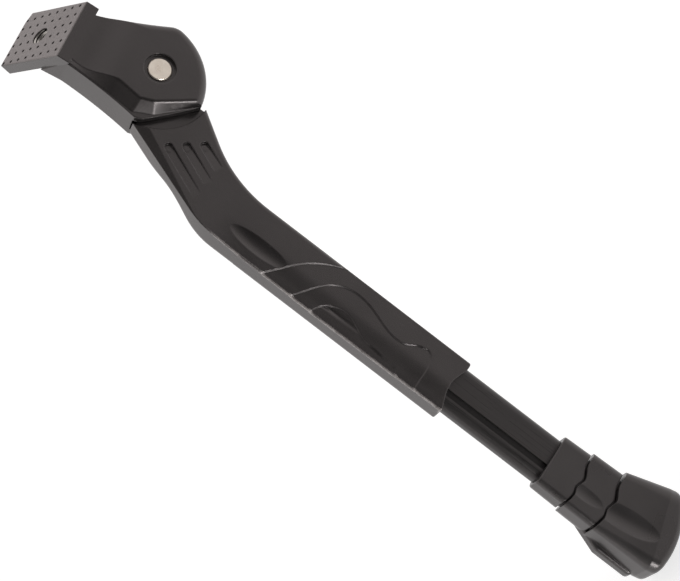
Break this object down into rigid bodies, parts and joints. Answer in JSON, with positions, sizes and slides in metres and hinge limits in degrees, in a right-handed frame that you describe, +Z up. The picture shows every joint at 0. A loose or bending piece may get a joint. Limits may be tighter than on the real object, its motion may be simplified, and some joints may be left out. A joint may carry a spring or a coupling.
{
  "type": "bicycle kickstand",
  "caption": "Adjustable bicycle kickstand: cast head with a dimpled clamp plate, folding leg on a riveted pivot, sliding lower tube and flared rubber foot.",
  "frame": {"origin": "centre of the frame bolt hole on the dimpled top face of the head's plate", "axes": "+X to the rear of the bicycle, -Y outwards to its left side, +Z up along the frame bolt"},
  "size_m": [0.1305, 0.2131, 0.2807],
  "materials": {
    "cast_black": "die-cast alloy, black satin paint",
    "tube_black": "extruded alloy, black satin anodised",
    "foot_rubber": "moulded black rubber, smooth matt",
    "bare_steel": "turned bare steel",
    "screw_steel": "black oxide"
  },
  "bodies": {
    "head": {"head": "cast_black", "pivot_pin": "bare_steel", "detent_spring": "bare_steel"},
    "leg": {"leg": "cast_black", "clamp_screw": "screw_steel"},
    "tube": {"lower_tube": "tube_black", "foot": "foot_rubber"},
    "plunger": {"detent_plunger": "bare_steel"}
  },
  "joints": [
    {"name": "leg_fold", "type": "hinge", "parent": "head", "child": "leg", "pos_m": [0, -0.046, -0.0332], "axis": [0, -0.848, 0.5299], "range_deg": [0, 95]},
    {"name": "leg_length", "type": "slide", "parent": "leg", "child": "tube", "axis": [-0.2164, -0.5174, -0.8279], "range_m": [-0.04, 0.015]},
    {"name": "detent", "type": "slide", "parent": "head", "child": "plunger", "axis": [0, -0.5299, -0.848], "range_m": [0, 0.0012], "stiffness_N_per_m": 1500, "springref_m": 0.005, "deforming": ["detent_spring"]}
  ]
}
